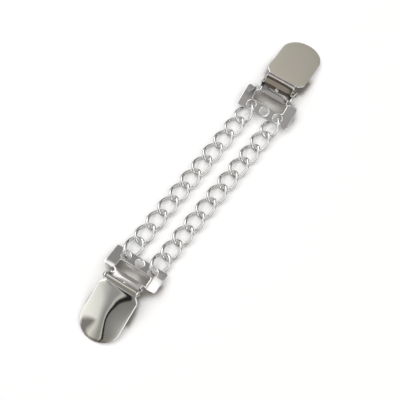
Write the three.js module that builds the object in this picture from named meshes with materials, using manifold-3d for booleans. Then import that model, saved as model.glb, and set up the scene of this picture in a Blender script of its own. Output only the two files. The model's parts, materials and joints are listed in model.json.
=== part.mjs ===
// Cardigan clip: two lever clips of stamped, nickel-plated steel, joined by two curb chains.
// Millimetres, +Z up. +X runs from clip A, which lies front up with its lever shut, to clip B,
// which is turned over and rests on the tip of its open lever.
import * as THREE from "three";
import { mergeVertices } from "three/addons/utils/BufferGeometryUtils.js";
import Module from "manifold-3d";

// Frame: wide plate with three holes and a strap window, then a bowed neck with a toothed jaw.
const sheet = 0.7;
const plateWidth = 25.8;
const plateCorner = 1.1;
const holeDiameter = 4;
const holeSpacing = 6.8;
const windowWidth = 15.4;
const windowHeight = 4.7;
const windowCorner = 0.8;
const chainBar = 0.8;
const middleBar = 0.7;
const jawBar = 0.8;
const neckWidth = 14;
const neckFlat = 1;
const neckBowEase = 3.4;
const reliefRadius = 0.9;
const reliefBar = 0.4;
const lipLength = 3.2;
const teethCount = 22;
const teethDepth = 0.5;
const dimpleRadius = 0.9;
const dimpleSetback = 3.2;

// Pivot: ears folded to the front carry a riveted pin.
const pinSetback = 6.1;
const pinHeight = 3.4;
const pinDiameter = 1;
const pinClearance = 0.15;
const earClearance = 0.3;
const earRadius = 1.5;
const earOverhang = 20;
const earLead = 4.8;
const earFoot = 2.6;
const headDiameter = 1.9;
const headThickness = 0.5;
const headClearance = 0.15;

// Lever: rolled knuckle round the pin, short bent neck and a domed plate with a round end.
const leverSheet = 0.45;
const leverNeckWidth = 14.6;
const leverDrop = 3.25;
const leverRoot = 1.6;
const leverNeckEase = 1;
const leverWidth = 19.1;
const leverLength = 26.75;
const leverEndDepth = 8.3;
const leverEdge = 0.8;
const leverCrown = 0.9;
const domeSetback = 9.75;
const domeReach = 8;
const edgeRound = 0.25;
const shutAngle = 35;
const biteDistance = 5.4;
const biteGap = 0.3;
const openAngleB = 61;

// Chains: twisted curb links, the end links hooked through the outer holes of the plates.
const linkCount = 11;
const wireDiameter = 1.5;
const linkLength = 11.3;
const linkWidth = 8.5;
const linkTwist = 45;
const linkFullness = 0.8;
const linkGap = 0.3;
const endLinkRoll = 18;
const holeSeat = 0.4;
const ladderShear = 5.6;

// Facets of round shapes.
const arcSteps = 12;
const bowSteps = 12;
const wireSteps = 26;
const wireSides = 6;
const domeRings = 5;
const heightSteps = 200;
const mergeDistance = 1e-4;

// Plated steel, a little brighter on the lever and the chains.
const frameColor = 0xcbc8c2;
const leverColor = 0xd2d0cb;
const pinColor = 0xc4c2bd;
const chainColor = 0xd8d7d3;
const platingRoughness = 0.2;

// Values that follow from the sizes above.
const degree = Math.PI / 180;
const holeInset = chainBar + holeDiameter / 2;
const windowInset = chainBar + holeDiameter + middleBar;
const plateLength = windowInset + windowHeight + jawBar;
const pinInset = plateLength + pinSetback;
const pinBore = pinDiameter / 2 + pinClearance;
const earGap = leverNeckWidth + 2 * earClearance;
const earOutside = earGap / 2 + sheet;
const earStart = pinInset - earLead;
const earEnd = earStart + earFoot;
const wireRadius = wireDiameter / 2;
const linkHalfLength = linkLength / 2 - wireRadius;
const linkHalfWidth = linkWidth / 2 - wireRadius;
const linkPitch = 2 * linkHalfLength - wireDiameter - linkGap;
const shutDirection = new THREE.Vector2(Math.cos(shutAngle * degree), -Math.sin(shutAngle * degree));
const shutNormal = new THREE.Vector2(-shutDirection.y, shutDirection.x);
const pinCentre = new THREE.Vector2(pinInset, pinHeight);
const jawEdge = pinCentre
  .clone()
  .addScaledVector(shutDirection, biteDistance)
  .addScaledVector(shutNormal, -leverDrop - leverEdge / 2 - biteGap);
const tall = 8 * leverLength;
const combDepth = 3 * sheet;

const wasm = await Module();
wasm.setup();

// A closed geometry as a solid that can be joined and cut.
function solid(geometry) {
  const loose = geometry.index ? geometry.toNonIndexed() : geometry;
  const bare = new THREE.BufferGeometry().setAttribute("position", loose.getAttribute("position"));
  const merged = mergeVertices(bare, mergeDistance);
  const triVerts = new Uint32Array(merged.index.array);
  const vertProperties = merged.getAttribute("position").array;
  return new wasm.Manifold(new wasm.Mesh({ numProp: 3, vertProperties, triVerts }));
}

// A joined or cut solid as geometry again.
function geometryOf(manifold) {
  const made = manifold.getMesh();
  const geometry = new THREE.BufferGeometry();
  geometry.setAttribute("position", new THREE.BufferAttribute(made.vertProperties, 3));
  geometry.setIndex(new THREE.BufferAttribute(made.triVerts, 1));
  geometry.computeVertexNormals();
  return geometry;
}

// A plan outline in x and y, thickened evenly about z = 0.
function thicken(shape, depth) {
  const geometry = new THREE.ExtrudeGeometry(shape, { depth, bevelEnabled: false, curveSegments: arcSteps });
  return geometry.translate(0, 0, -depth / 2);
}

// A side profile in x and z, drawn out across the clip and centred on y.
function drawAcross(shape, width, y = 0) {
  return thicken(shape, width)
    .rotateX(Math.PI / 2)
    .translate(0, y, 0);
}

function circle(x, y, radius, Kind = THREE.Path) {
  return new Kind().absarc(x, y, radius, 0, 2 * Math.PI);
}

// A rectangle from x0 to x1, as wide as told and centred on y, with round corners.
function roundedRectangle(x0, x1, width, radius, Kind = THREE.Shape) {
  const half = width / 2;
  const outline = new Kind();
  outline.absarc(x1 - radius, half - radius, radius, 0, Math.PI / 2);
  outline.absarc(x0 + radius, half - radius, radius, Math.PI / 2, Math.PI);
  outline.absarc(x0 + radius, radius - half, radius, Math.PI, 1.5 * Math.PI);
  outline.absarc(x1 - radius, radius - half, radius, 1.5 * Math.PI, 2 * Math.PI);
  return outline.closePath();
}

// The unit direction of a line of points at one of them.
function directionAt(points, i) {
  const before = points[Math.max(i - 1, 0)];
  const after = points[Math.min(i + 1, points.length - 1)];
  return after.clone().sub(before).normalize();
}

// A strip of even thickness along a line of points.
function strip(points, thickness) {
  const side = (offset) =>
    points.map((point, i) => {
      const along = directionAt(points, i);
      return new THREE.Vector2(point.x - along.y * offset, point.y + along.x * offset);
    });
  return new THREE.Shape([...side(-thickness / 2), ...side(thickness / 2).reverse()]);
}

// Middle line of the frame's neck in x and z: flat, bowed to the back, then turned up to the jaw's edge.
const neckBow = new THREE.CubicBezierCurve(
  new THREE.Vector2(plateLength + neckFlat, 0),
  new THREE.Vector2(plateLength + neckFlat + neckBowEase, 0),
  jawEdge.clone().addScaledVector(shutNormal, -lipLength),
  jawEdge,
);
const neckLine = neckBow.getPoints(bowSteps);

function plateSolid() {
  const outline = roundedRectangle(0, plateLength, plateWidth, plateCorner);
  for (const side of [-1, 0, 1]) {
    outline.holes.push(circle(holeInset, side * holeSpacing, holeDiameter / 2));
  }
  const windowEnd = windowInset + windowHeight;
  outline.holes.push(roundedRectangle(windowInset, windowEnd, windowWidth, windowCorner, THREE.Path));
  let plate = solid(thicken(outline, sheet));
  const reliefInset = windowEnd + reliefBar + reliefRadius;
  for (const side of [-1, 1]) {
    const relief = circle(reliefInset, side * (neckWidth / 2 + reliefRadius), reliefRadius, THREE.Shape);
    plate = plate.subtract(solid(thicken(relief, tall)));
  }
  return plate;
}

// The neck's plan: a plain strip with a tab on each side where an ear is folded up.
function neckPlan() {
  const half = neckWidth / 2;
  const steps = [
    [plateLength - sheet, half],
    [earStart, half],
    [earStart, earOutside],
    [earEnd, earOutside],
    [earEnd, half],
    [jawEdge.x + lipLength, half],
  ];
  const nearSide = steps.map(([x, y]) => new THREE.Vector2(x, -y));
  const farSide = steps.map(([x, y]) => new THREE.Vector2(x, y));
  return new THREE.Shape([...nearSide, ...farSide.reverse()]);
}

// Comb that files the teeth into the jaw's edge.
function teethComb() {
  const pitch = neckWidth / teethCount;
  const points = [];
  for (let i = 0; i <= 2 * teethCount; i += 1) {
    const depth = i % 2 ? teethDepth : 0;
    points.push(new THREE.Vector2(-neckWidth / 2 + (i * pitch) / 2, -depth));
  }
  points.push(new THREE.Vector2(neckWidth / 2, sheet), new THREE.Vector2(-neckWidth / 2, sheet));
  const end = directionAt(neckLine, neckLine.length - 1);
  const across = new THREE.Vector3(0, 1, 0);
  const along = new THREE.Vector3(end.x, 0, end.y);
  const through = new THREE.Vector3().crossVectors(across, along);
  const seat = new THREE.Matrix4().makeBasis(across, along, through);
  seat.setPosition(jawEdge.x, 0, jawEdge.y);
  return solid(thicken(new THREE.Shape(points), combDepth).applyMatrix4(seat));
}

function neckSolid() {
  const line = [new THREE.Vector2(plateLength - sheet, 0), ...neckLine];
  const drawn = solid(drawAcross(strip(line, sheet), 2 * earOutside));
  return drawn.intersect(solid(thicken(neckPlan(), tall))).subtract(teethComb());
}

// A small bump pressed into the neck from behind.
function pressDimple(frame) {
  const i = neckLine.findIndex((point) => point.x >= plateLength + dimpleSetback);
  const spot = neckLine[i];
  const along = directionAt(neckLine, i);
  const back = new THREE.Vector2(along.y, -along.x);
  const ball = (radius, depth) =>
    solid(
      new THREE.SphereGeometry(radius, arcSteps, arcSteps / 2)
        .rotateX(Math.PI / 2)
        .translate(spot.x + back.x * depth, 0, spot.y + back.y * depth),
    );
  return frame.add(ball(dimpleRadius, sheet / 2)).subtract(ball(dimpleRadius - sheet / 2, sheet));
}

function earSolid(side) {
  const foot = neckLine.filter((point) => point.x > earStart && point.x < earEnd);
  const overhang = earOverhang * degree;
  const outline = new THREE.Shape(foot);
  outline.absarc(pinInset, pinHeight, earRadius, -overhang, Math.PI + overhang);
  outline.closePath();
  outline.holes.push(circle(pinInset, pinHeight, pinBore));
  return solid(drawAcross(outline, sheet, (side * (earGap + sheet)) / 2));
}

function frameGeometry() {
  let frame = plateSolid().add(neckSolid());
  for (const side of [-1, 1]) {
    frame = frame.add(earSolid(side));
  }
  return geometryOf(pressDimple(frame));
}

// Plan of the lever's plate, measured from the pin: neck, slanted shoulders, straight sides, round end.
function leverOutline() {
  const half = leverWidth / 2;
  const neck = leverNeckWidth / 2;
  const shoulder = leverRoot + half - neck;
  const outline = new THREE.Shape();
  outline.moveTo(leverRoot, -neck);
  outline.lineTo(shoulder, -half);
  outline.absellipse(leverLength - leverEndDepth, 0, leverEndDepth, half, -Math.PI / 2, Math.PI / 2);
  outline.lineTo(shoulder, half);
  outline.lineTo(leverRoot, neck);
  return outline.closePath();
}

// Rise of the lever's dome: highest across its middle, dying away to the neck and down to the tip.
function domeRise(x, y) {
  const beyond = x - (leverLength - domeSetback);
  const lengthways = 1 / (1 + (beyond / domeReach) ** 2);
  const crossways = 1 - (y / (leverWidth / 2)) ** 2;
  const tipRise = 1 / (1 + (domeSetback / domeReach) ** 2);
  const tipShare = Math.max(0, beyond) / domeSetback;
  return leverCrown * (lengthways * crossways - tipRise * tipShare ** 2);
}

// The domed plate: a flat grip face, an upright edge and rings that rise to the dome's middle.
function leverPlateGeometry() {
  const rim = leverOutline().getPoints(arcSteps).slice(0, -1);
  const middle = (leverRoot + leverLength) / 2;
  const back = -leverDrop - leverEdge / 2;
  const front = back + leverEdge;
  const domed = (x, y) => front + domeRise(x, y);
  const rings = [
    { scale: 1, height: () => back },
    { scale: 1, height: () => front - edgeRound },
  ];
  for (let k = 0; k < domeRings; k += 1) {
    const scale = (1 - edgeRound / (leverWidth / 2)) * (1 - k / domeRings);
    rings.push({ scale, height: domed });
  }
  const positions = [];
  for (const { scale, height } of rings) {
    for (const point of rim) {
      const x = middle + (point.x - middle) * scale;
      const y = point.y * scale;
      positions.push(x, y, height(x, y));
    }
  }
  positions.push(middle, 0, back, middle, 0, domed(middle, 0));
  const count = rim.length;
  const backMiddle = rings.length * count;
  const crown = backMiddle + 1;
  const faces = [];
  for (let i = 0; i < count; i += 1) {
    const next = (i + 1) % count;
    faces.push(backMiddle, next, i);
    for (let k = 0; k + 1 < rings.length; k += 1) {
      const low = k * count;
      const high = low + count;
      faces.push(low + i, low + next, high + next, low + i, high + next, high + i);
    }
    const last = (rings.length - 1) * count;
    faces.push(last + i, last + next, crown);
  }
  const geometry = new THREE.BufferGeometry();
  geometry.setAttribute("position", new THREE.Float32BufferAttribute(positions, 3));
  return geometry.setIndex(faces);
}

// The lever about its pin, with its plate along +X.
function leverGeometry() {
  const knuckle = circle(0, 0, pinBore + leverSheet, THREE.Shape);
  knuckle.holes.push(circle(0, 0, pinBore));
  const rollMiddle = pinBore + leverSheet / 2;
  const bend = new THREE.CubicBezierCurve(
    new THREE.Vector2(leverRoot + leverSheet, -leverDrop),
    new THREE.Vector2(leverRoot + leverSheet - leverNeckEase, -leverDrop),
    new THREE.Vector2(rollMiddle, -leverNeckEase),
    new THREE.Vector2(rollMiddle, 0),
  );
  const neck = strip(bend.getPoints(bowSteps), leverSheet);
  return geometryOf(
    solid(leverPlateGeometry())
      .add(solid(drawAcross(neck, leverNeckWidth)))
      .add(solid(drawAcross(knuckle, leverNeckWidth))),
  );
}

// A riveted pin along y, with a low round head outside each ear.
function pinGeometry() {
  const shank = earOutside + headClearance;
  const end = shank + headThickness;
  const radius = pinDiameter / 2;
  const head = headDiameter / 2;
  const half = [
    [radius, shank],
    [head, shank],
    [head, end - edgeRound],
    [head - edgeRound, end],
    [0, end],
  ].map(([r, y]) => new THREE.Vector2(r, y));
  const otherHalf = half.map((point) => new THREE.Vector2(point.x, -point.y)).reverse();
  return new THREE.LatheGeometry([...otherHalf, ...half], arcSteps);
}

// Middle line of a curb link's wire: a full oval, its far end twisted clockwise and its near end back.
class CurbLine extends THREE.Curve {
  getPoint(t, target = new THREE.Vector3()) {
    const turn = 2 * Math.PI * t;
    const full = (share) => Math.sign(share) * Math.abs(share) ** linkFullness;
    const along = full(Math.cos(turn));
    const reach = linkHalfWidth * full(Math.sin(turn));
    const twist = -linkTwist * degree * along;
    return target.set(linkHalfLength * along, reach * Math.cos(twist), reach * Math.sin(twist));
  }
}

// Height of a link's middle above what it lies on, when it is rolled about its length.
function lyingHeight(roll) {
  const spin = new THREE.Vector3(1, 0, 0);
  const line = new CurbLine().getPoints(heightSteps);
  return wireRadius + Math.max(...line.map((point) => point.applyAxisAngle(spin, roll * degree).z));
}

const chainHeight = lyingHeight(0);
const endHeight = lyingHeight(endLinkRoll);
const endReach = 2 * linkHalfLength - wireRadius - linkGap / 2;
const endSlope = Math.asin((endHeight - chainHeight) / endReach);
const endRun = endReach * Math.cos(endSlope);
const chainRun = 2 * endRun + (linkCount - 2) * linkPitch;
const holeHeight = endHeight + holeSeat;

// A named piece with its own plating.
function plated(name, geometry, color) {
  const plating = { color, roughness: platingRoughness, metalness: 1 };
  const mesh = new THREE.Mesh(geometry, new THREE.MeshStandardMaterial(plating));
  mesh.name = name;
  return mesh;
}

// One clip: x from the plate's chain-side edge to the jaw, z to the front; the lever turned by its angle.
function clip(letter, leverAngle) {
  const group = new THREE.Group();
  const lever = new THREE.Group();
  lever.add(plated(`clip_${letter}_lever`, leverGeometry(), leverColor));
  lever.rotation.y = leverAngle * degree;
  const pin = plated(`clip_${letter}_pivot_pin`, pinGeometry(), pinColor);
  for (const piece of [lever, pin]) {
    piece.position.set(pinInset, 0, pinHeight);
  }
  group.add(plated(`clip_${letter}_frame`, frameGeometry(), frameColor), pin, lever);
  group.position.x = -holeInset;
  return group;
}

// The tilt that lays the lever's tip on the table when the hole row is at its height above it.
function restingTilt(leverAngle, tipFace, up) {
  const tip = new THREE.Vector2(leverLength, tipFace).rotateAround(new THREE.Vector2(), -leverAngle * degree);
  const x = pinInset + tip.x - holeInset;
  const z = (pinHeight + tip.y) * up;
  return Math.asin(-holeHeight / Math.hypot(x, z)) - Math.atan2(z, x);
}

function clipA() {
  const tilted = new THREE.Group();
  tilted.add(clip("a", shutAngle));
  tilted.rotation.y = -restingTilt(shutAngle, -leverDrop - leverEdge / 2, 1);
  const placed = new THREE.Group();
  placed.add(tilted);
  placed.rotation.z = Math.PI;
  placed.position.z = holeHeight;
  return placed;
}

function clipB() {
  const leverAngle = shutAngle - openAngleB;
  const turnedOver = new THREE.Group();
  turnedOver.add(clip("b", leverAngle));
  turnedOver.rotation.x = Math.PI;
  const placed = new THREE.Group();
  placed.add(turnedOver);
  placed.rotation.y = -restingTilt(leverAngle, -leverDrop + leverEdge / 2, -1);
  const shear = ladderShear * degree;
  placed.position.set(chainRun * Math.cos(shear), -chainRun * Math.sin(shear), holeHeight);
  return placed;
}

// One chain from hole to hole along x. The end links slope up to the plates and are rolled upright.
function chain(side) {
  const group = new THREE.Group();
  const fromHole = linkHalfLength * Math.cos(endSlope);
  const endRise = endHeight - linkHalfLength * Math.sin(endSlope);
  for (let i = 0; i < linkCount; i += 1) {
    const number = String(i + 1).padStart(2, "0");
    const wire = new THREE.TubeGeometry(new CurbLine(), wireSteps, wireRadius, wireSides, true);
    const link = plated(`${side}_chain_link_${number}`, wire, chainColor);
    if (i === 0) {
      link.rotation.set(endLinkRoll * degree, endSlope, 0, "YXZ");
      link.position.set(fromHole, 0, endRise);
    } else if (i === linkCount - 1) {
      link.rotation.set(-endLinkRoll * degree, -endSlope, 0, "YXZ");
      link.position.set(chainRun - fromHole, 0, endRise);
    } else {
      link.position.set(endRun + (i - 0.5) * linkPitch, 0, chainHeight);
    }
    group.add(link);
  }
  group.rotation.z = -ladderShear * degree;
  group.position.y = side === "left" ? holeSpacing : -holeSpacing;
  return group;
}

// The whole object, moved so that the origin lies on the table under its middle.
const assembly = new THREE.Group();
assembly.add(clipA(), clipB(), chain("left"), chain("right"));
const box = new THREE.Box3().setFromObject(assembly, true);
const middle = box.getCenter(new THREE.Vector3());
assembly.position.set(-middle.x, -middle.y, -box.min.z);

const cardiganClip = new THREE.Group();
cardiganClip.add(assembly);

export default cardiganClip;
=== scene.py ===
# %% [markdown]
# # A cardigan clip in polished nickel
# A cardigan clip holds two garment edges together. It has two lever clips, stamped from thin steel
# and nickel plated, and two curb chains between them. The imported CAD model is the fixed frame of
# this scene: it says where each piece lies. Here each piece is made once more, with rounded sheet
# edges, a smooth dome and round wire, because bright metal shows every facet.

# %% Load the frame
import json
import math

import bmesh
import bpy
import numpy as np
from mathutils import Matrix, Vector


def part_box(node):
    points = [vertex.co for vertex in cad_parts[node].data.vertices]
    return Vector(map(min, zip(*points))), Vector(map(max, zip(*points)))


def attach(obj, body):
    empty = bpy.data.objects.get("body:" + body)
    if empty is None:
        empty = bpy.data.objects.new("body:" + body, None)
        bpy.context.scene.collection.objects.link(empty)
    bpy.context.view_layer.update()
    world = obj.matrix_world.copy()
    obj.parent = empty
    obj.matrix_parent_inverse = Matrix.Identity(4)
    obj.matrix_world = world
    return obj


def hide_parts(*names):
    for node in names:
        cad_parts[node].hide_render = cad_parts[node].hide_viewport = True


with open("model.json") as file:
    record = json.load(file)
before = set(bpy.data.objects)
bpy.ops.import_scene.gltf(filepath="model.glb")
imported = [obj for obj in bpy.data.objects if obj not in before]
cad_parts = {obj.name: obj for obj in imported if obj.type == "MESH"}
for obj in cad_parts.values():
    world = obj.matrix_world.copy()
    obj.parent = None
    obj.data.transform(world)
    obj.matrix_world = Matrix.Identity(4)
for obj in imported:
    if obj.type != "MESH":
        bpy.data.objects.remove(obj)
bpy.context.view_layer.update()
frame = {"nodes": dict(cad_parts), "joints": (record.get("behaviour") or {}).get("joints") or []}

# %% [markdown]
# ## Sizes
# The sheet and wire sizes are those of the CAD model, written in metres. A few finer ones are added for
# what only shows close up: the round of a sheared edge, the flutes that the teeth press into the lip,
# and how far in the painted shade beside an ear starts.

# %% Sizes of the frame, the lever and the chain
MM = 0.001
SHEET = 0.7 * MM
PLATE_WIDTH = 25.8 * MM
PLATE_CORNER = 1.1 * MM
HOLE_RADIUS = 2.0 * MM
HOLE_SPACING = 6.8 * MM
SLOT_WIDTH = 15.4 * MM
SLOT_HEIGHT = 4.7 * MM
SLOT_CORNER = 0.8 * MM
CHAIN_BAR = 0.8 * MM
MIDDLE_BAR = 0.7 * MM
JAW_BAR = 0.8 * MM
HOLE_INSET = CHAIN_BAR + HOLE_RADIUS
SLOT_INSET = HOLE_INSET + HOLE_RADIUS + MIDDLE_BAR
PLATE_LENGTH = SLOT_INSET + SLOT_HEIGHT + JAW_BAR

NECK_WIDTH = 14 * MM
NECK_FLAT = 1.0 * MM
NECK_BOW_EASE = 3.4 * MM
RELIEF_RADIUS = 0.9 * MM
RELIEF_BAR = 0.4 * MM
LIP_LENGTH = 3.2 * MM
TEETH = 22
TOOTH_PITCH = NECK_WIDTH / TEETH
TOOTH_DEPTH = 0.5 * MM
FLUTE_LENGTH = 2.2 * MM
FLUTE_DEPTH = 0.3 * MM
DIMPLE_RADIUS = 0.9 * MM
DIMPLE_SETBACK = 3.2 * MM
DIMPLE_HEIGHT = 0.6 * MM

PIN_INSET = PLATE_LENGTH + 6.1 * MM
PIN_HEIGHT = 3.4 * MM
PIN_RADIUS = 0.5 * MM
PIN_BORE = PIN_RADIUS + 0.15 * MM
EAR_RADIUS = 1.5 * MM
EAR_OVERHANG = math.radians(20)
EAR_START = PIN_INSET - 4.8 * MM
EAR_END = EAR_START + 2.6 * MM
EAR_SHADE_INSIDE = 6.2 * MM
HEAD_RADIUS = 0.95 * MM
HEAD_THICKNESS = 0.5 * MM
HEAD_CLEARANCE = 0.15 * MM

LEVER_SHEET = 0.45 * MM
LEVER_NECK_WIDTH = 14.6 * MM
LEVER_DROP = 3.25 * MM
LEVER_ROOT = 1.6 * MM
LEVER_NECK_EASE = 1.0 * MM
LEVER_HALF = 9.55 * MM
LEVER_LENGTH = 26.75 * MM
LEVER_END_DEPTH = 8.3 * MM
LEVER_EDGE = 0.8 * MM
LEVER_CROWN = 0.9 * MM
EAR_INSIDE = LEVER_NECK_WIDTH / 2 + 0.3 * MM
EAR_OUTSIDE = EAR_INSIDE + SHEET
SHUT_ANGLE = math.radians(35)
OPEN_ANGLE_B = math.radians(61)
BITE_DISTANCE = 5.4 * MM
BITE_GAP = 0.3 * MM

WIRE_RADIUS = 0.75 * MM
LINK_HALF_LENGTH = 11.3 * MM / 2 - WIRE_RADIUS
LINK_HALF_WIDTH = 8.5 * MM / 2 - WIRE_RADIUS
LINK_TWIST = math.radians(45)
LINK_FULLNESS = 0.8
EDGE_ROUND = 0.1 * MM
FRAME_ROUND = 0.33 * MM
print("plate length in mm:", round(PLATE_LENGTH / MM, 2))

# %% [markdown]
# ## Camera
# The photograph looks down steeply, with the chains running up to the right. The angles, the
# distance and the field of view were found by fitting the holes and corners of both plates. A
# square picture makes the field of view the same both ways.

# %% Camera
AZIMUTH = math.radians(-58)
ELEVATION = math.radians(70.9)
DISTANCE = 357 * MM
FIELD_OF_VIEW = math.radians(27.7)
LOOK_AT = Vector((-7.84, -1.55, 0)) * MM

away = Vector((
    math.sin(AZIMUTH) * math.cos(ELEVATION),
    -math.cos(AZIMUTH) * math.cos(ELEVATION),
    math.sin(ELEVATION),
))
camera = bpy.data.objects.new("camera", bpy.data.cameras.new("camera"))
bpy.context.scene.collection.objects.link(camera)
camera.location = LOOK_AT + away * DISTANCE
camera.rotation_euler = (-away).to_track_quat("-Z", "Y").to_euler()
camera.data.angle = FIELD_OF_VIEW
camera.data.clip_start = 10 * MM
bpy.context.scene.camera = camera
bpy.context.scene.view_settings.view_transform = "Standard"
print("camera at", [round(v, 4) for v in camera.location])

# %% [markdown]
# ## Small helpers for nodes
# A node tree is a list of nodes and a list of links. Four short helpers keep the recipes readable:
# one adds a node and sets its plain properties, one takes a step of arithmetic, one adds a colour
# ramp with its stops, and one mixes two colours.

# %% Node helpers
def add_node(tree, kind, inputs=None, **settings):
    made = tree.nodes.new(kind)
    for name, value in settings.items():
        setattr(made, name, value)
    for name, value in (inputs or {}).items():
        if isinstance(value, bpy.types.NodeSocket):
            tree.links.new(value, made.inputs[name])
        else:
            made.inputs[name].default_value = value
    return made


def math_step(tree, operation, first, second):
    return add_node(tree, "ShaderNodeMath", {0: first, 1: second}, operation=operation).outputs[0]


def add_ramp(tree, value, stops):
    """A colour ramp; each stop is a place and a grey or a colour."""
    ramp = add_node(tree, "ShaderNodeValToRGB", {"Fac": value})
    elements = ramp.color_ramp.elements
    while len(elements) < len(stops):
        elements.new(1)
    for element, (place, grey) in zip(elements, stops):
        element.position = place
        element.color = (*grey, 1) if isinstance(grey, tuple) else (grey, grey, grey, 1)
    return ramp.outputs["Color"]


def mixed(tree, share, first, second, blend="MIX"):
    """Two colours mixed by a share, which is a number or a link."""
    mix = add_node(tree, "ShaderNodeMix", data_type="RGBA", blend_type=blend)
    for place, value in ((0, share), (6, first), (7, second)):
        if isinstance(value, bpy.types.NodeSocket):
            tree.links.new(value, mix.inputs[place])
        else:
            mix.inputs[place].default_value = value
    return mix.outputs[2]


print("node helpers ready")

# %% [markdown]
# ## Studio
# Polished metal has hardly a colour of its own: it shows the room. The photograph's room can be read
# from it. There is light from the far left, a bright band above the chains, a dark strip straight
# above where the camera stands, a dim far side and a low warm glow at the far end. Ramps over the
# compass directions make the walls, one more makes the strip overhead. The world holds that room for
# glossy rays only. Diffuse rays meet a soft ring of light high up, which shades the paper evenly all
# round, and the camera sees white.

# %% Directions of the room
ROOM_STRENGTH = 2.4
FILL_STRENGTH = 1.8


def sweep(tree, split, east, north):
    """A weighted sum of a direction's x and y, brought from -1 to 1 to 0 to 1 for a ramp."""
    part = math_step(tree, "MULTIPLY", split.outputs["Y"], north)
    total = add_node(tree, "ShaderNodeMath", {
        0: split.outputs["X"], 1: east, 2: part,
    }, operation="MULTIPLY_ADD")
    spread = add_node(tree, "ShaderNodeMapRange", {
        "Value": total.outputs[0], "From Min": -1.0, "From Max": 1.0,
    })
    return spread.outputs["Result"]


def at(part):
    """The place on a ramp for a sum of directions from -1 to 1."""
    return (part + 1) / 2


world = bpy.data.worlds.new("studio")
bpy.context.scene.world = world
world.use_nodes = True
tree = world.node_tree
tree.nodes.clear()
look = add_node(tree, "ShaderNodeTexCoord").outputs["Generated"]
split = add_node(tree, "ShaderNodeSeparateXYZ", {"Vector": look})
east, north = sweep(tree, split, 1, 0), sweep(tree, split, 0, 1)
print("nodes for directions:", len(tree.nodes))

# %% Walls of the room
along = add_ramp(tree, east, [
    (at(-1.0), (0.3, 0.26, 0.21)),
    (at(-0.93), (0.2, 0.17, 0.14)),
    (at(-0.74), (0.2, 0.17, 0.14)),
    (at(-0.62), 0.7),
    (at(-0.1), 0.72),
    (at(0.04), 0.75),
    (at(0.14), 1.0),
    (at(0.54), 1.0),
    (at(0.61), 0.75),
    (at(0.655), 0.3),
    (at(0.7), 0.24),
    (at(1.0), 0.24),
])
across = add_ramp(tree, sweep(tree, split, 0.2, 1), [
    (at(-1.0), 0.08),
    (at(-0.75), 0.1),
    (at(-0.62), 0.47),
    (at(-0.35), 0.47),
    (at(-0.2), 0.3),
    (at(0.1), 0.28),
    (at(0.26), 0.31),
    (at(0.3), 0.67),
    (at(0.42), 0.67),
    (at(0.52), 1.0),
    (at(0.85), 1.0),
    (at(1.0), 0.2),
])
sides = mixed(tree, 1, along, across, "MULTIPLY")
print("nodes with the walls:", len(tree.nodes))

# %% Strip overhead
overhead = add_ramp(tree, sweep(tree, split, -0.2, 1), [
    (at(-0.8), 0.67),
    (at(-0.5), 0.6),
    (at(-0.3), 0.3),
    (at(-0.15), 0.27),
    (at(-0.03), 0.2),
    (at(0.075), 0.15),
    (at(0.205), 0.11),
    (at(0.213), 0.006),
    (at(0.236), 0.006),
    (at(0.245), 0.37),
    (at(0.262), 0.16),
    (at(0.295), 0.17),
    (at(0.33), 0.27),
    (at(0.38), 0.42),
    (at(0.5), 0.48),
    (at(0.7), 0.55),
])
corner = mixed(
    tree, 1,
    add_ramp(tree, east, [(at(-0.8), 0.0), (at(-0.7), 1.0), (at(-0.56), 1.0), (at(-0.48), 0.0)]),
    add_ramp(tree, north, [(at(0.24), 0.0), (at(0.31), 1.0), (at(0.45), 1.0), (at(0.55), 0.0)]),
    "MULTIPLY",
)
overhead = mixed(tree, corner, overhead, (0.12, 0.113, 0.113, 1))
overhead_share = add_ramp(tree, east, [
    (at(-0.76), 0.0), (at(-0.7), 1.0), (at(-0.16), 1.0), (at(-0.08), 0.0),
])
upward = add_ramp(tree, split.outputs["Z"], [(0.0, 0.03), (0.2, 0.08), (0.34, 1.0)])
room = mixed(tree, 1, mixed(tree, overhead_share, sides, overhead), upward, "MULTIPLY")
print("nodes with the strip:", len(tree.nodes))

# %% Low glow and light for diffuse rays
far_end = add_ramp(tree, east, [
    (at(-1.0), (0.16, 0.145, 0.125)), (at(-0.965), (0.16, 0.145, 0.125)), (at(-0.93), 0.0),
])
low_down = add_ramp(tree, split.outputs["Z"], [(0.0, 0.1), (0.08, 1.0), (0.16, 1.0), (0.24, 0.0)])
room = mixed(tree, 1, room, mixed(tree, 1, far_end, low_down, "MULTIPLY"), "ADD")
rays = add_node(tree, "ShaderNodeLightPath")
shown_room = add_node(tree, "ShaderNodeBackground", {"Color": room, "Strength": ROOM_STRENGTH})
high_ring = add_ramp(tree, split.outputs["Z"], [
    (0.0, 0.05), (0.62, 0.05), (0.7, 1.0), (0.9, 1.0), (0.97, 0.05), (1.0, 0.05),
])
fill = add_node(tree, "ShaderNodeBackground", {"Color": high_ring, "Strength": FILL_STRENGTH})
white = add_node(tree, "ShaderNodeBackground", {"Color": (1, 1, 1, 1), "Strength": 1.0})
mirrored = add_node(tree, "ShaderNodeMixShader", {
    0: rays.outputs["Is Glossy Ray"], 1: fill.outputs[0], 2: shown_room.outputs[0],
})
seen = add_node(tree, "ShaderNodeMixShader", {
    0: rays.outputs["Is Camera Ray"], 1: mirrored.outputs[0], 2: white.outputs[0],
})
add_node(tree, "ShaderNodeOutputWorld", {"Surface": seen.outputs[0]})
print("world nodes:", len(tree.nodes))

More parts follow.
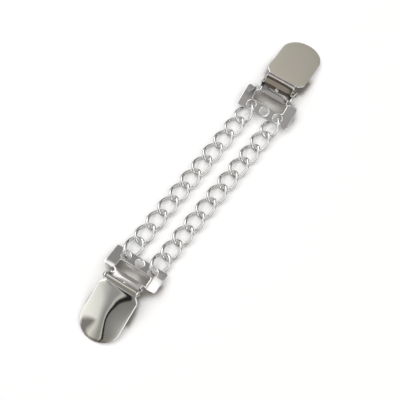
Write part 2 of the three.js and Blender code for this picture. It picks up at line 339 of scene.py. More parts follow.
# %% [markdown]
# ## Floor and key light
# The floor is plain white paper. A little glow for camera and glossy rays lifts it to the
# photograph's white, so no extra light has to fall on the metal, and the object's shadow stays. In
# mirror rays the paper itself is dimmer: that draws the dark lines along the wire. Paper also goes
# dark under metal that stands a little above it, as at the slots and the holes. Ambient occlusion at
# three reaches finds such places: metal that starts beyond the near reach and lies within the middle
# one as well as the far one. Links lie nearer than that and levers stand higher, so the paper stays
# light there. One large soft lamp hangs almost straight above.

# %% Floor sheet
FLOOR_HALF = 1.5
FLOOR_DROP = 0.02 * MM

bpy.ops.mesh.primitive_plane_add(size=2 * FLOOR_HALF, location=(0, 0, -FLOOR_DROP))
floor = bpy.context.object
floor.name = "paper_floor"
print("floor side in m:", 2 * FLOOR_HALF)

# %% Close shade of the paper
SHADE_NEAR = 4 * MM
SHADE_MIDDLE = 7 * MM
SHADE_FAR = 16 * MM
SHADE_SAMPLES = 24
LOW_WEIGHT = 2.2

paper = bpy.data.materials.new("white_paper")
paper.use_nodes = True
tree = paper.node_tree
tree.nodes.clear()
near, middle, far = (
    add_node(tree, "ShaderNodeAmbientOcclusion", {"Distance": reach}, samples=SHADE_SAMPLES)
    for reach in (SHADE_NEAR, SHADE_MIDDLE, SHADE_FAR)
)
low_cover = math_step(tree, "SUBTRACT", near.outputs["AO"], middle.outputs["AO"])
low_cover = math_step(tree, "MULTIPLY", low_cover, LOW_WEIGHT)
high_cover = math_step(tree, "SUBTRACT", near.outputs["AO"], far.outputs["AO"])
covered = math_step(tree, "MINIMUM", low_cover, high_cover)
shade = add_ramp(tree, covered, [
    (0.28, 1.0), (0.36, (0.66, 0.63, 0.61)), (0.43, (0.3, 0.28, 0.26)), (0.5, (0.26, 0.24, 0.22)),
])
print("nodes for the shade:", len(tree.nodes))

# %% Paper
FLOOR_GLOW = 0.14
MIRROR_PAPER = 0.55
PAPER_COLOUR = (0.86, 0.85, 0.84, 1)

rays = add_node(tree, "ShaderNodeLightPath")
shown = math_step(tree, "MAXIMUM", rays.outputs["Is Camera Ray"], rays.outputs["Is Glossy Ray"])
shown = math_step(tree, "MAXIMUM", shown, rays.outputs["Is Transmission Ray"])
level = math_step(tree, "MULTIPLY", shown, FLOOR_GLOW)
glow = add_node(tree, "ShaderNodeEmission", {"Color": shade, "Strength": level})
tint = mixed(tree, 1, PAPER_COLOUR, shade, "MULTIPLY")
dim = mixed(tree, 1, tint, (MIRROR_PAPER, MIRROR_PAPER, MIRROR_PAPER, 1), "MULTIPLY")
tint = mixed(tree, rays.outputs["Is Glossy Ray"], tint, dim)
matt = add_node(tree, "ShaderNodeBsdfDiffuse", {"Color": tint})
both = add_node(tree, "ShaderNodeAddShader", {0: matt.outputs[0], 1: glow.outputs[0]})
add_node(tree, "ShaderNodeOutputMaterial", {"Surface": both.outputs[0]})
floor.data.materials.append(paper)
print("paper nodes:", len(tree.nodes))

# %% Key light
KEY_SIZE = 0.6
KEY_POWER = 1.8
KEY_FROM = Vector((0.03, 0.18, 0.9))

key = bpy.data.objects.new("key_light", bpy.data.lights.new("key_light", "AREA"))
bpy.context.scene.collection.objects.link(key)
key.data.size = KEY_SIZE
key.visible_glossy = False
key.data.energy = KEY_POWER
key.location = KEY_FROM
key.rotation_euler = (-KEY_FROM).to_track_quat("-Z", "Y").to_euler()
print("lamp at", [round(v, 2) for v in key.location])

# %% [markdown]
# ## Plating effects
# All pieces carry the same nickel plate, so two effects are shared as node groups. One lets the plate's
# tone drift slowly between a cool and a warm grey, as thin plating does. Faces that a mesh marks along
# the rounded edges are painted whiter: a painted highlight along the edges, partly rubbed wear. The
# other group is the fine grain that handling and barrel polishing leave: it changes the roughness and
# gives a height.

# %% Tone of the plate
def new_group(name, inputs, outputs):
    group = bpy.data.node_groups.new(name, "ShaderNodeTree")
    for kind, title, value in inputs:
        socket = group.interface.new_socket(title, in_out="INPUT", socket_type=kind)
        socket.default_value = value
    for kind, title in outputs:
        group.interface.new_socket(title, in_out="OUTPUT", socket_type=kind)
    return group, add_node(group, "NodeGroupInput"), add_node(group, "NodeGroupOutput")


plate_tone, given, result = new_group(
    "plate_tone",
    [
        ("NodeSocketColor", "Cool", (0.6, 0.6, 0.6, 1)),
        ("NodeSocketColor", "Warm", (0.6, 0.58, 0.54, 1)),
        ("NodeSocketColor", "Edge", (1.0, 1.0, 1.0, 1)),
        ("NodeSocketFloat", "Scale", 120.0),
    ],
    [("NodeSocketColor", "Color")],
)
place = add_node(plate_tone, "ShaderNodeTexCoord").outputs["Object"]
clouds = add_node(plate_tone, "ShaderNodeTexNoise", {
    "Vector": place, "Scale": given.outputs["Scale"], "Detail": 3.0,
})
mask = add_ramp(plate_tone, clouds.outputs["Fac"], [(0.35, 0.0), (0.65, 1.0)])
tone = mixed(plate_tone, mask, given.outputs["Cool"], given.outputs["Warm"])
# Marked edge faces take the Edge colour: a painted highlight, partly rubbed wear.
edge = add_node(plate_tone, "ShaderNodeAttribute", attribute_name="edge_highlight").outputs["Fac"]
plate_tone.links.new(mixed(plate_tone, edge, tone, given.outputs["Edge"]), result.inputs["Color"])
print("group", plate_tone.name)

# %% Grain of the polish
polish_grain, given, result = new_group(
    "polish_grain",
    [
        ("NodeSocketFloat", "Smooth", 0.08),
        ("NodeSocketFloat", "Worn", 0.2),
        ("NodeSocketFloat", "Scale", 900.0),
    ],
    [("NodeSocketFloat", "Roughness"), ("NodeSocketFloat", "Height")],
)
place = add_node(polish_grain, "ShaderNodeTexCoord").outputs["Object"]
specks = add_node(polish_grain, "ShaderNodeTexNoise", {
    "Vector": place, "Scale": given.outputs["Scale"], "Detail": 4.0,
})
spread = add_node(polish_grain, "ShaderNodeMapRange", {
    "Value": specks.outputs["Fac"], "From Min": 0.3, "From Max": 0.75,
    "To Min": given.outputs["Smooth"], "To Max": given.outputs["Worn"],
})
polish_grain.links.new(spread.outputs["Result"], result.inputs["Roughness"])
polish_grain.links.new(specks.outputs["Fac"], result.inputs["Height"])
print("group", polish_grain.name)

# %% [markdown]
# ## Finishes
# Each finish is one Principled shader with full metal, fed by the two groups with its own values.
# The grip face of the lever is the one dull surface: it is left satin so that cloth doesn't slip. The
# ears and the tabs under them are painted dark: painted shade, for the fold lies in shade.

# %% Nickel finishes
GRAIN_HEIGHT = 0.02 * MM
# Each row: cool tone, warm tone, scale of their drift, smooth and worn roughness, grain scale, bump.
FINISHES = {
    "frame_nickel": ((0.6, 0.6, 0.59), (0.62, 0.58, 0.56), 150, 0.05, 0.11, 1500, 0.08),
    "lever_nickel": ((0.66, 0.66, 0.62), (0.68, 0.66, 0.58), 90, 0.025, 0.05, 1500, 0.03),
    "grip_nickel": ((0.68, 0.645, 0.545), (0.695, 0.64, 0.56), 60, 0.38, 0.5, 2600, 0.25),
    # The ears' row is painted shade: a near-black plate where the fold lies in shade.
    "ear_painted_shade": ((0.2, 0.19, 0.18), (0.22, 0.2, 0.18), 150, 0.1, 0.2, 1500, 0.08),
    "pin_nickel": ((0.6, 0.6, 0.58), (0.6, 0.58, 0.54), 200, 0.12, 0.22, 1800, 0.1),
    "chain_nickel": ((0.85, 0.86, 0.86), (0.87, 0.86, 0.84), 150, 0.03, 0.06, 1800, 0.05),
}


def nickel(name, cool, warm, tone_scale, smooth, worn, grain_scale, bump):
    made = bpy.data.materials.new(name)
    made.use_nodes = True
    tree = made.node_tree
    shader = tree.nodes["Principled BSDF"]
    shader.inputs["Metallic"].default_value = 1
    colour = add_node(tree, "ShaderNodeGroup", node_tree=plate_tone)
    colour.inputs["Cool"].default_value = (*cool, 1)
    colour.inputs["Warm"].default_value = (*warm, 1)
    colour.inputs["Scale"].default_value = tone_scale
    grain = add_node(tree, "ShaderNodeGroup", node_tree=polish_grain)
    grain.inputs["Smooth"].default_value = smooth
    grain.inputs["Worn"].default_value = worn
    grain.inputs["Scale"].default_value = grain_scale
    relief = add_node(tree, "ShaderNodeBump", {
        "Strength": bump, "Distance": GRAIN_HEIGHT, "Height": grain.outputs["Height"],
    })
    tree.links.new(colour.outputs["Color"], shader.inputs["Base Color"])
    tree.links.new(grain.outputs["Roughness"], shader.inputs["Roughness"])
    tree.links.new(relief.outputs["Normal"], shader.inputs["Normal"])
    return made


nickels = {name: nickel(name, *values) for name, values in FINISHES.items()}
print("finishes:", list(nickels))

# %% [markdown]
# ## Places from the frame
# Nothing is placed by eye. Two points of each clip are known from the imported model: the hinge point
# at a chain hole, which lies in the middle of the sheet, and the middle of its pivot pin. Together
# they give the tilt of the clip. Clip A lies turned round on the table, clip B is flipped over.

# %% Where the clips lie
joint_at = {joint["name"]: Vector(joint["pos_m"]) for joint in frame["joints"]}


def node_middle(node):
    low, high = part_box(node)
    return (low + high) / 2


def clip_place(letter, hole_joint, turned):
    """The matrix from a clip's own axes, x to the jaw and z to the front, to the frame."""
    pin = node_middle(f"clip_{letter}_pivot_pin")
    own_pin = Vector((PIN_INSET, 0, PIN_HEIGHT))
    before = turned @ (own_pin - Vector((CHAIN_BAR / 2, 0, 0)))
    after = pin - joint_at[hole_joint]
    tilt = math.atan2(before.z, before.x) - math.atan2(after.z, after.x)
    turn = Matrix.Rotation(tilt, 4, "Y") @ turned.to_4x4()
    return Matrix.Translation(pin) @ turn @ Matrix.Translation(-own_pin)


def lever_place(clip_matrix, angle):
    own_pin = Matrix.Translation((PIN_INSET, 0, PIN_HEIGHT))
    return clip_matrix @ own_pin @ Matrix.Rotation(angle, 4, "Y")


clip_places = {
    "a": clip_place("a", "left_link_01_bend", Matrix.Rotation(math.pi, 3, "Z")),
    "b": clip_place("b", "clip_b_bend", Matrix.Rotation(math.pi, 3, "X")),
}
lever_places = {
    "a": lever_place(clip_places["a"], SHUT_ANGLE),
    "b": lever_place(clip_places["b"], SHUT_ANGLE - OPEN_ANGLE_B),
}
print("clip tilts:", {k: round(math.degrees(m.to_euler().y), 2) for k, m in clip_places.items()})

# %% [markdown]
# ## Stamped sheet
# A stamping has an outline, holes and a slightly rounded edge. Blender's flat curve gives exactly
# that: the splines are the outline and the holes, the extrusion is the sheet and the bevel is the
# round of the edge. The curve is then turned into a mesh, so that it can be bent.

# %% From an outline to a sheet
CORNER_STEPS = 8


def arc(x, y, radius, start, end, steps):
    turns = [start + (end - start) * i / steps for i in range(steps + 1)]
    return [(x + radius * math.cos(t), y + radius * math.sin(t)) for t in turns]


def rounded_rectangle(x0, x1, half, radius):
    quarter = math.pi / 2
    corners = [
        (x1 - radius, half - radius), (x0 + radius, half - radius),
        (x0 + radius, radius - half), (x1 - radius, radius - half),
    ]
    points = []
    for i, (x, y) in enumerate(corners):
        points += arc(x, y, radius, i * quarter, (i + 1) * quarter, CORNER_STEPS)
    return points


def stamped(name, outline, holes, thickness, edge):
    """A flat mesh about z = 0 with its sheared edges rounded. Outlines run anticlockwise."""
    curve = bpy.data.curves.new(name, "CURVE")
    curve.dimensions = "2D"
    curve.fill_mode = "BOTH"
    curve.extrude = thickness / 2 - edge
    curve.bevel_depth = edge
    curve.bevel_resolution = 2
    curve.offset = -edge
    for points in [outline] + [hole[::-1] for hole in holes]:
        spline = curve.splines.new("POLY")
        spline.points.add(len(points) - 1)
        spline.use_cyclic_u = True
        for point, (x, y) in zip(spline.points, points):
            point.co = (x, y, 0, 1)
    holder = bpy.data.objects.new(name, curve)
    bpy.context.scene.collection.objects.link(holder)
    evaluated = holder.evaluated_get(bpy.context.evaluated_depsgraph_get())
    mesh = bpy.data.meshes.new_from_object(evaluated)
    bpy.data.objects.remove(holder)
    bpy.data.curves.remove(curve)
    return mesh


print("sheet helpers ready")

# %% From a sheet to editable faces
SAME_POINT = 0.001 * MM
FLAT_ENOUGH = 0.98


def into_bmesh(mesh):
    bm = bmesh.new()
    bm.from_mesh(mesh)
    bpy.data.meshes.remove(mesh)
    bmesh.ops.remove_doubles(bm, verts=bm.verts, dist=SAME_POINT)
    return bm


def mark_edge_highlight(bm):
    """Marks the rounded edge of a flat sheet for a painted highlight, partly rubbed wear, and keeps it
    apart from the flat sides.
    """
    worn = bm.faces.layers.float.new("edge_highlight")
    bm.normal_update()
    for face in bm.faces:
        face[worn] = float(abs(face.normal.z) < FLAT_ENOUGH)
    for edge in bm.edges:
        edge.smooth = len({face[worn] for face in edge.link_faces}) == 1


print("edge helpers ready")

# %% [markdown]
# ## Bending the neck
# The real frame is stamped flat and then bent, and so is this one. The neck's middle line is the same
# curve as in the CAD model: flat, bowed to the back, then turned up to the toothed jaw. A point of
# the flat blank goes to the place on that line at the same distance along the sheet. Two slight bends
# come on top, which the photograph's reflections show: the plate's wings lean to the back beside the
# neck, each by its own amount, and the neck's sides are pulled down where the ears were folded.

# %% Neck line
def bezier(points, t):
    a, b, c, d = points
    u = 1 - t
    return a * u**3 + b * (3 * u * u * t) + c * (3 * u * t * t) + d * t**3


shut_along = Vector((math.cos(SHUT_ANGLE), -math.sin(SHUT_ANGLE)))
shut_up = Vector((math.sin(SHUT_ANGLE), math.cos(SHUT_ANGLE)))
jaw_edge = (
    Vector((PIN_INSET, PIN_HEIGHT))
    + shut_along * BITE_DISTANCE
    - shut_up * (LEVER_DROP + LEVER_EDGE / 2 + BITE_GAP)
)
BOW_START = PLATE_LENGTH + NECK_FLAT
bow = [
    Vector((BOW_START, 0)), Vector((BOW_START + NECK_BOW_EASE, 0)),
    jaw_edge - shut_up * LIP_LENGTH, jaw_edge,
]
BOW_STEPS = 40
neck_line = np.array([bezier(bow, i / BOW_STEPS) for i in range(BOW_STEPS + 1)])
steps = np.linalg.norm(np.diff(neck_line, axis=0), axis=1)
neck_reach = BOW_START + np.concatenate([[0], np.cumsum(steps)])
NECK_END = neck_reach[-1]


def flat_x(x):
    """Distance along the sheet at which the bent neck reaches this x."""
    return float(np.interp(x, neck_line[:, 0], neck_reach))


print("blank length in mm:", round(NECK_END / MM, 2))

# %% Bending
# For each clip its wings at -y and at +y: where the lean starts, its slope at the neck's end of the
# plate, and the angle by which the wing's outer end is tilted up again.
WINGS = {
    "a": ((8.4 * MM, math.radians(10), 0), (0.5 * MM, math.radians(13), math.radians(3.5))),
    "b": ((2.0 * MM, math.radians(6), 0), (8.4 * MM, 0, 0)),
}
LEAN_GROWS = (6.5 * MM, 8.8 * MM)
LEAN_FADES = (9.0 * MM, 13.0 * MM)
LEAN_EASE = 0.25
NECK_CROWN = 0.3 * MM
CROWN_GROWS = 2 * MM
CROWN_FADES = 3 * MM


def eased(value, low, high):
    """A smooth step from 0 at low to 1 at high."""
    share = min(max((value - low) / (high - low), 0), 1)
    return share * share * (3 - 2 * share)


def lean(point, wings):
    """Drop of a wing to the back, bent beside the neck, with its outer end tilted up again."""
    start, slope, tilt = wings[point.y > 0]
    out = eased(abs(point.y), *LEAN_GROWS) * (1 - LEAN_EASE * eased(abs(point.y), *LEAN_FADES))
    reach = min(max(point.x - start, 0), PLATE_LENGTH - start)
    drop = out * slope * reach * reach / (2 * (PLATE_LENGTH - start))
    drop -= tilt * max(abs(point.y) - LEAN_GROWS[1], 0)
    return drop * (1 - eased(point.x, PLATE_LENGTH, BOW_START))


def crown(point):
    """Drop of the neck's sides to the back, where the ears pulled them when they were folded."""
    out = min(abs(point.y) / (NECK_WIDTH / 2), 1)
    grown = eased(point.x, PLATE_LENGTH, PLATE_LENGTH + CROWN_GROWS)
    return NECK_CROWN * out**3 * grown * eased(NECK_END - point.x, 0, CROWN_FADES)


def bend(point, wings):
    """The place of a point of the flat blank on the bent frame."""
    point = point - Vector((0, 0, lean(point, wings) + crown(point)))
    if point.x <= BOW_START:
        return point
    i = int(np.clip(np.searchsorted(neck_reach, point.x) - 1, 0, BOW_STEPS - 1))
    share = (point.x - neck_reach[i]) / (neck_reach[i + 1] - neck_reach[i])
    on_line = neck_line[i] + (neck_line[i + 1] - neck_line[i]) * share
    low, high = max(i - 1, 0), min(i + 2, BOW_STEPS)
    run = Vector(neck_line[high] - neck_line[low]).normalized()
    return Vector((on_line[0] - run.y * point.z, point.y, on_line[1] + run.x * point.z))


middle_of_lip = bend(Vector((NECK_END, 0, 0)), WINGS["a"])
print("lip after bending in mm:", [round(part / MM, 2) for part in middle_of_lip])

# %% [markdown]
# ## The frame of a clip
# The blank is the wide plate and the neck in one outline, with the teeth cut into its end, three holes
# and the strap slot. It is cut into narrow strips where it will bend, and slivers that the cuts leave
# are taken out. The teeth are pressed into the lip as flutes and the small bump into the neck, and then
# the blank is bent. Its tabs, where the ears fold up, carry the ears' finish, which is painted shade.
# The two ears are their own stampings, set on the neck's sides.

# %% Blank outline
HOLE_STEPS = 48


def blank_outline():
    plate_half = PLATE_WIDTH / 2
    neck = NECK_WIDTH / 2
    relief_x = PLATE_LENGTH - JAW_BAR + RELIEF_BAR + RELIEF_RADIUS
    relief_y = neck + RELIEF_RADIUS
    swing = math.acos((relief_x - PLATE_LENGTH) / RELIEF_RADIUS)
    tab = EAR_OUTSIDE - SHEET / 2
    corner = PLATE_CORNER
    quarter = math.pi / 2
    half = arc(corner, plate_half - corner, corner, math.pi, quarter, CORNER_STEPS)
    half += arc(PLATE_LENGTH - corner, plate_half - corner, corner, quarter, 0, CORNER_STEPS)
    half += arc(relief_x, relief_y, RELIEF_RADIUS, math.pi - swing, math.pi + swing, CORNER_STEPS)
    half += [(PLATE_LENGTH, neck), (flat_x(EAR_START), neck), (flat_x(EAR_START), tab)]
    half += [(flat_x(EAR_END), tab), (flat_x(EAR_END), neck), (NECK_END, neck)]
    teeth = []
    for i in range(1, 2 * TEETH):
        teeth.append((NECK_END - TOOTH_DEPTH * (i % 2), neck - i * TOOTH_PITCH / 2))
    other = [(x, -y) for x, y in reversed(half)]
    return (half + teeth + other)[::-1]


def frame_holes():
    holes = []
    for side in (-1, 0, 1):
        holes.append(arc(HOLE_INSET, side * HOLE_SPACING, HOLE_RADIUS, 0, 2 * math.pi, HOLE_STEPS)[:-1])
    slot_end = SLOT_INSET + SLOT_HEIGHT
    return holes + [rounded_rectangle(SLOT_INSET, slot_end, SLOT_WIDTH / 2, SLOT_CORNER)]


print("points of the outline:", len(blank_outline()))

# %% Cutting and pressing
def cut_strips(bm, stations, normal):
    for station in stations:
        everything = bm.verts[:] + bm.edges[:] + bm.faces[:]
        bmesh.ops.bisect_plane(bm, geom=everything, plane_co=Vector(normal) * station, plane_no=normal)


def cut_lip(bm, stations, start):
    """Cuts only the lip, which lies beyond start, lengthways."""
    for station in stations:
        faces = [face for face in bm.faces if face.calc_center_median().x > start]
        parts = set(faces)
        for face in faces:
            parts.update(face.edges, face.verts)
        bmesh.ops.bisect_plane(bm, geom=list(parts), plane_co=(0, station, 0), plane_no=(0, 1, 0))


def press_bump(bm):
    spot = flat_x(PLATE_LENGTH + DIMPLE_SETBACK)
    for vertex in bm.verts:
        away_from = math.hypot(vertex.co.x - spot, vertex.co.y) / DIMPLE_RADIUS
        if away_from < 1:
            vertex.co.z += DIMPLE_HEIGHT * (0.5 + 0.5 * math.cos(math.pi * away_from))


def press_flutes(bm):
    """Presses the teeth into the lip as flutes."""
    for vertex in bm.verts:
        share = eased(vertex.co.x, NECK_END - FLUTE_LENGTH, NECK_END - FLUTE_LENGTH / 2)
        phase = ((NECK_WIDTH / 2 - vertex.co.y) / TOOTH_PITCH) % 1
        vertex.co.z += FLUTE_DEPTH * share * (abs(2 * phase - 1) - 0.5)


print("press tools ready")

# %% Bent blank
BUMP_CUTS = 6
WING_CUTS = 16
WING_START = 0.35
CROSS_CUTS = 36
# Points closer than this become one, so that the cuts leave no slivers.
SLIVER = 0.02 * MM


def bent_blank(wings):
    bm = into_bmesh(stamped("blank", blank_outline(), frame_holes(), SHEET, FRAME_ROUND))
    mark_edge_highlight(bm)
    spot = flat_x(PLATE_LENGTH + DIMPLE_SETBACK)
    bump = [DIMPLE_RADIUS * i / BUMP_CUTS for i in range(-BUMP_CUTS, BUMP_CUTS + 1)]
    wing = [PLATE_LENGTH * (WING_START + (1 - WING_START) * i / WING_CUTS) for i in range(WING_CUTS)]
    cut_strips(bm, neck_reach[:-1], (1, 0, 0))
    cut_strips(bm, [spot + step for step in bump], (1, 0, 0))
    cut_strips(bm, bump, (0, 1, 0))
    cut_strips(bm, wing, (1, 0, 0))
    cut_strips(bm, [PLATE_WIDTH * (i / CROSS_CUTS - 0.5) for i in range(1, CROSS_CUTS)], (0, 1, 0))
    grooves = [TOOTH_PITCH * (i / 2 - TEETH / 2) for i in range(1, 2 * TEETH)]
    cut_lip(bm, grooves, NECK_END - FLUTE_LENGTH)
    bmesh.ops.remove_doubles(bm, verts=bm.verts, dist=SLIVER)
    bmesh.ops.dissolve_degenerate(bm, edges=bm.edges, dist=SLIVER)
    press_flutes(bm)
    press_bump(bm)
    # Faces of the tabs beside the ears take slot 1, the ears' painted shade.
    for face in bm.faces:
        x, y, _ = face.calc_center_median()
        in_ear_shade = abs(y) > EAR_SHADE_INSIDE and flat_x(EAR_START) < x < flat_x(EAR_END)
        face.material_index = int(in_ear_shade)
    for vertex in bm.verts:
        vertex.co = bend(vertex.co, wings)
    return bm


trial = bent_blank(WINGS["a"])
print("blank faces:", len(trial.faces))
trial.free()

# %% Ears
EAR_STEPS = 24
BORE_STEPS = 32


def ear(side):
    back = neck_line[(neck_line[:, 0] > EAR_START) & (neck_line[:, 0] < EAR_END)]
    foot = [(x, z - SHEET / 2) for x, z in back]
    top = arc(PIN_INSET, PIN_HEIGHT, EAR_RADIUS, -EAR_OVERHANG, math.pi + EAR_OVERHANG, EAR_STEPS)
    bore = arc(PIN_INSET, PIN_HEIGHT, PIN_BORE, 0, 2 * math.pi, BORE_STEPS)[:-1]
    bm = into_bmesh(stamped("ear", foot + top, [bore], SHEET, FRAME_ROUND))
    mark_edge_highlight(bm)
    to_side = Matrix.Translation((0, side * (EAR_INSIDE + SHEET / 2), 0))
    bm.transform(to_side @ Matrix.Rotation(math.pi / 2, 4, "X"))
    # The whole ear takes slot 1, its painted shade.
    for face in bm.faces:
        face.material_index = 1
    return bm


def merged(parts):
    """Several bmeshes as one mesh."""
    whole = bmesh.new()
    for part in parts:
        mesh = bpy.data.meshes.new("part")
        part.to_mesh(mesh)
        part.free()
        whole.from_mesh(mesh)
        bpy.data.meshes.remove(mesh)
    return whole


print("ear helpers ready")

# %% [markdown]
# ## From mesh to piece
# A finished piece is shaded smooth. A weighted-normal modifier lets the large faces keep their own
# direction, so the flat sheet stays flat right up to its rounded edge. The piece then rides on its
# body of the frame and stands for its CAD node.

# %% Placing a piece
SHARP = math.radians(50)


def add_piece(node, body, bm, place, finishes):
    bm.transform(place)
    bmesh.ops.recalc_face_normals(bm, faces=bm.faces)
    for edge in bm.edges:
        edge.smooth = edge.smooth and edge.calc_face_angle(0) < SHARP
    mesh = bpy.data.meshes.new(f"{node}_shape")
    bm.to_mesh(mesh)
    bm.free()
    mesh.shade_smooth()
    for finish in finishes:
        mesh.materials.append(finish)
    piece = bpy.data.objects.new(f"{node}_piece", mesh)
    bpy.context.scene.collection.objects.link(piece)
    shading = piece.modifiers.new("flat_faces", "WEIGHTED_NORMAL")
    shading.keep_sharp = True
    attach(piece, body)
    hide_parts(node)
    return piece


for letter, place in clip_places.items():
    whole = merged([bent_blank(WINGS[letter]), ear(1), ear(-1)])
    node = f"clip_{letter}_frame"
    finishes = [nickels["frame_nickel"], nickels["ear_painted_shade"]]
    piece = add_piece(node, node, whole, place, finishes)
    print(piece.name, len(piece.data.polygons), "faces")

# %% [markdown]
# ## The lever
# The lever's plate is a D with a flat grip face behind and a pressed dome in front. The dome is
# highest in its middle and dies away to both ends, which is what bends the dark reflection along it.
# It is lofted in rings from the middle of the front, over the rim, to the middle of the back.

# %% Rim and dome of the lever
END_STEPS = 40
SHOULDER_STEPS = 4
SIDE_STEPS = 12
DOME_SETBACK = 9.75 * MM
DOME_REACH = 8 * MM
DOME_START = 8 * MM
DOME_EASE = 0.4
RIM_POWER = 40


def between(start, end, steps):
    """Points from start towards end, without end itself."""
    (x0, y0), (x1, y1) = start, end
    return [(x0 + (x1 - x0) * i / steps, y0 + (y1 - y0) * i / steps) for i in range(steps)]


def lever_rim():
    neck = LEVER_NECK_WIDTH / 2
    shoulder = LEVER_ROOT + LEVER_HALF - neck
    straight = LEVER_LENGTH - LEVER_END_DEPTH
    points = between((LEVER_ROOT, -neck), (shoulder, -LEVER_HALF), SHOULDER_STEPS)
    points += between((shoulder, -LEVER_HALF), (straight, -LEVER_HALF), SIDE_STEPS)
    for i in range(END_STEPS):
        turn = -math.pi / 2 + math.pi * i / END_STEPS
        points.append((straight + LEVER_END_DEPTH * math.cos(turn), LEVER_HALF * math.sin(turn)))
    points += between((straight, LEVER_HALF), (shoulder, LEVER_HALF), SIDE_STEPS)
    points += between((shoulder, LEVER_HALF), (LEVER_ROOT, neck), SHOULDER_STEPS)
    points += between((LEVER_ROOT, neck), (LEVER_ROOT, -neck), SIDE_STEPS)
    return points


def dome(x, y, share):
    """Height of the pressed front above its rim; share runs from 0 in the middle to 1 at the rim."""
    beyond = x - (LEVER_LENGTH - DOME_SETBACK)
    lengthways = 1 / (1 + (beyond / DOME_REACH) ** 2)
    lengthways *= 1 - DOME_EASE * (1 - eased(x, LEVER_ROOT, LEVER_ROOT + DOME_START))
    crossways = 1 - (y / LEVER_HALF) ** 2
    tip_rise = 1 / (1 + (DOME_SETBACK / DOME_REACH) ** 2)
    tip_share = max(0, beyond) / DOME_SETBACK
    return LEVER_CROWN * (lengthways * crossways - tip_rise * tip_share**2) * (1 - share**RIM_POWER)


print("points of the rim:", len(lever_rim()))

# %% Lever plate
DOME_RINGS = 22
RIM_RINGS = 5
RIM_ROUND = 0.4 * MM
BACK_RING = 0.5
PLATE_MIDDLE = (LEVER_ROOT + LEVER_LENGTH) / 2


def lever_plate():
    rim = lever_rim()
    back = -LEVER_DROP - LEVER_EDGE / 2
    front = back + LEVER_EDGE
    inset = 1 - RIM_ROUND / LEVER_HALF
    rings = [(inset * k / DOME_RINGS, None, k / DOME_RINGS) for k in range(1, DOME_RINGS + 1)]
    for k in range(1, RIM_RINGS + 1):
        turn = k * math.pi / (2 * RIM_RINGS)
        z = front - RIM_ROUND * (1 - math.cos(turn))
        rings.append((inset + (1 - inset) * math.sin(turn), z, 1))
    rings += [(1, back + EDGE_ROUND, 1), (1 - EDGE_ROUND / LEVER_HALF, back, 1), (BACK_RING, back, 1)]
    bm = bmesh.new()
    loops = []
    for grow, z, share in rings:
        loop = []
        for rim_x, rim_y in rim:
            x, y = PLATE_MIDDLE + (rim_x - PLATE_MIDDLE) * grow, rim_y * grow
            loop.append(bm.verts.new((x, y, front + dome(x, y, share) if z is None else z)))
        loops.append(loop)
    summit = bm.verts.new((PLATE_MIDDLE, 0, front + dome(PLATE_MIDDLE, 0, 0)))
    heart = bm.verts.new((PLATE_MIDDLE, 0, back))
    # The rim's faces are marked for the painted edge highlight, partly rubbed wear.
    worn = bm.faces.layers.float.new("edge_highlight")
    for i in range(len(rim)):
        j = (i + 1) % len(rim)
        bm.faces.new((summit, loops[0][i], loops[0][j]))
        for k, (inner, outer) in enumerate(zip(loops, loops[1:])):
            face = bm.faces.new((inner[i], outer[i], outer[j], inner[j]))
            face[worn] = float(DOME_RINGS - 1 <= k < len(loops) - 2)
        bm.faces.new((heart, loops[-1][j], loops[-1][i]))
    grip = back + EDGE_ROUND / 2
    for face in bm.faces:
        face.material_index = int(all(v.co.z < grip for v in face.verts))
    return bm


trial = lever_plate()
print("lever plate faces:", len(trial.faces))
trial.free()

# %% [markdown]
# ## Knuckle and pin
# The lever's neck is one strip that leaves the plate, bends up and is rolled round the pin. The roll
# doesn't quite close, and its seam shows from below. The pin is a rivet with low domed heads.

# %% Knuckle
ROLL = math.radians(305)
ROLL_STEPS = 48
NECK_STEPS = 20


def strip_outline(line, thickness):
    """Both sides of a strip of sheet that follows a line of points."""
    line = [Vector(point) for point in line]
    near, far = [], []
    for i, point in enumerate(line):
        run = (line[min(i + 1, len(line) - 1)] - line[max(i - 1, 0)]).normalized()
        side = Vector((-run.y, run.x)) * thickness / 2
        near.append(tuple(point - side))
        far.append(tuple(point + side))
    return near + far[::-1]


def knuckle():
    roll = PIN_BORE + LEVER_SHEET / 2
    start = LEVER_ROOT + LEVER_SHEET
    neck = [
        Vector((start, -LEVER_DROP)), Vector((start - LEVER_NECK_EASE, -LEVER_DROP)),
        Vector((roll, -LEVER_NECK_EASE)), Vector((roll, 0)),
    ]
    line = [tuple(bezier(neck, i / NECK_STEPS)) for i in range(NECK_STEPS)]
    outline = strip_outline(line + arc(0, 0, roll, 0, ROLL, ROLL_STEPS), LEVER_SHEET)
    bm = into_bmesh(stamped("knuckle", outline, [], LEVER_NECK_WIDTH, EDGE_ROUND))
    bm.transform(Matrix.Rotation(math.pi / 2, 4, "X"))
    return bm


for letter, place in lever_places.items():
    whole = merged([knuckle(), lever_plate()])
    node = f"clip_{letter}_lever"
    finishes = [nickels["lever_nickel"], nickels["grip_nickel"]]
    piece = add_piece(node, node, whole, place, finishes)
    print(piece.name, len(piece.data.polygons), "faces")

# %% Pin
PIN_SIDES = 32
HEAD_STEPS = 8


def turned(profile, sides):
    """A closed body turned about y from a profile of radius and y, pointed at both ends."""
    bm = bmesh.new()
    first = bm.verts.new((0, profile[0][1], 0))
    last = bm.verts.new((0, profile[-1][1], 0))
    rings = []
    for radius, y in profile[1:-1]:
        turns = [2 * math.pi * i / sides for i in range(sides)]
        rings.append([bm.verts.new((radius * math.cos(t), y, radius * math.sin(t))) for t in turns])
    for i in range(sides):
        j = (i + 1) % sides
        bm.faces.new((first, rings[0][i], rings[0][j]))
        for low, high in zip(rings, rings[1:]):
            bm.faces.new((low[i], high[i], high[j], low[j]))
        bm.faces.new((last, rings[-1][j], rings[-1][i]))
    return bm


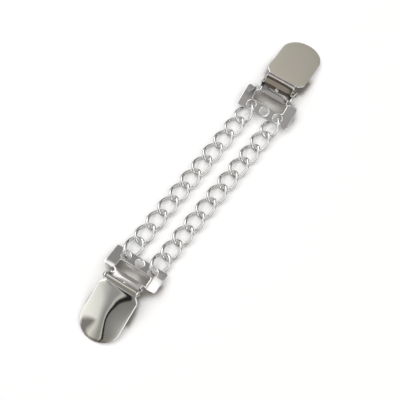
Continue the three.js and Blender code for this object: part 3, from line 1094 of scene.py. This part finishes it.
def pin():
    shank = EAR_OUTSIDE + HEAD_CLEARANCE
    half = [(PIN_RADIUS, shank), (HEAD_RADIUS - EDGE_ROUND, shank), (HEAD_RADIUS, shank + EDGE_ROUND)]
    for i in range(1, HEAD_STEPS + 1):
        turn = i * math.pi / (2 * HEAD_STEPS)
        rise = (HEAD_THICKNESS - EDGE_ROUND) * math.sin(turn)
        half.append((HEAD_RADIUS * math.cos(turn), shank + EDGE_ROUND + rise))
    half[-1] = (0, shank + HEAD_THICKNESS)
    return turned([(r, -y) for r, y in reversed(half)] + half, PIN_SIDES)


for letter in clip_places:
    node = f"clip_{letter}_pivot_pin"
    place = Matrix.Translation(node_middle(node))
    piece = add_piece(node, f"clip_{letter}_frame", pin(), place, [nickels["pin_nickel"]])
    print(piece.name, len(piece.data.polygons), "faces")

# %% [markdown]
# ## Chain links
# A curb link is an oval of round wire with its two ends twisted opposite ways, so that the chain lies
# flat. Each link's place is measured on its own CAD node: the mean of its points is the middle, and
# their main directions are its length, its width and its thickness.

# %% Curb links
LINK_STEPS = 80
WIRE_SIDES = 16
NUDGE = 0.001


def curb_line(t):
    turn = 2 * math.pi * t
    along, reach = (math.copysign(abs(v) ** LINK_FULLNESS, v) for v in (math.cos(turn), math.sin(turn)))
    twist = -LINK_TWIST * along
    side = LINK_HALF_WIDTH * reach
    return Vector((LINK_HALF_LENGTH * along, side * math.cos(twist), side * math.sin(twist)))


def curb_link():
    bm = bmesh.new()
    rings = []
    for i in range(LINK_STEPS):
        t = i / LINK_STEPS
        middle = curb_line(t)
        run = (curb_line(t + NUDGE) - curb_line(t - NUDGE)).normalized()
        outward = (middle - run * middle.dot(run)).normalized()
        upward = run.cross(outward)
        ring = []
        for k in range(WIRE_SIDES):
            turn = 2 * math.pi * k / WIRE_SIDES
            spoke = outward * math.cos(turn) + upward * math.sin(turn)
            ring.append(bm.verts.new(middle + spoke * WIRE_RADIUS))
        rings.append(ring)
    for i, ring in enumerate(rings):
        after = rings[(i + 1) % LINK_STEPS]
        for k in range(WIRE_SIDES):
            n = (k + 1) % WIRE_SIDES
            bm.faces.new((ring[k], after[k], after[n], ring[n]))
    return bm


def link_place(node):
    points = np.array([vertex.co for vertex in frame["nodes"][node].data.vertices])
    middle = points.mean(axis=0)
    length, width = np.linalg.svd(points - middle, full_matrices=False)[2][:2]
    thickness = np.cross(length, width)
    axes = Matrix((length, width, thickness)).transposed().to_4x4()
    return Matrix.Translation(middle) @ axes


links = [node for node in frame["nodes"] if "_chain_link_" in node]
for node in links:
    add_piece(node, node, curb_link(), link_place(node), [nickels["chain_nickel"]])
print("links made:", len(links))
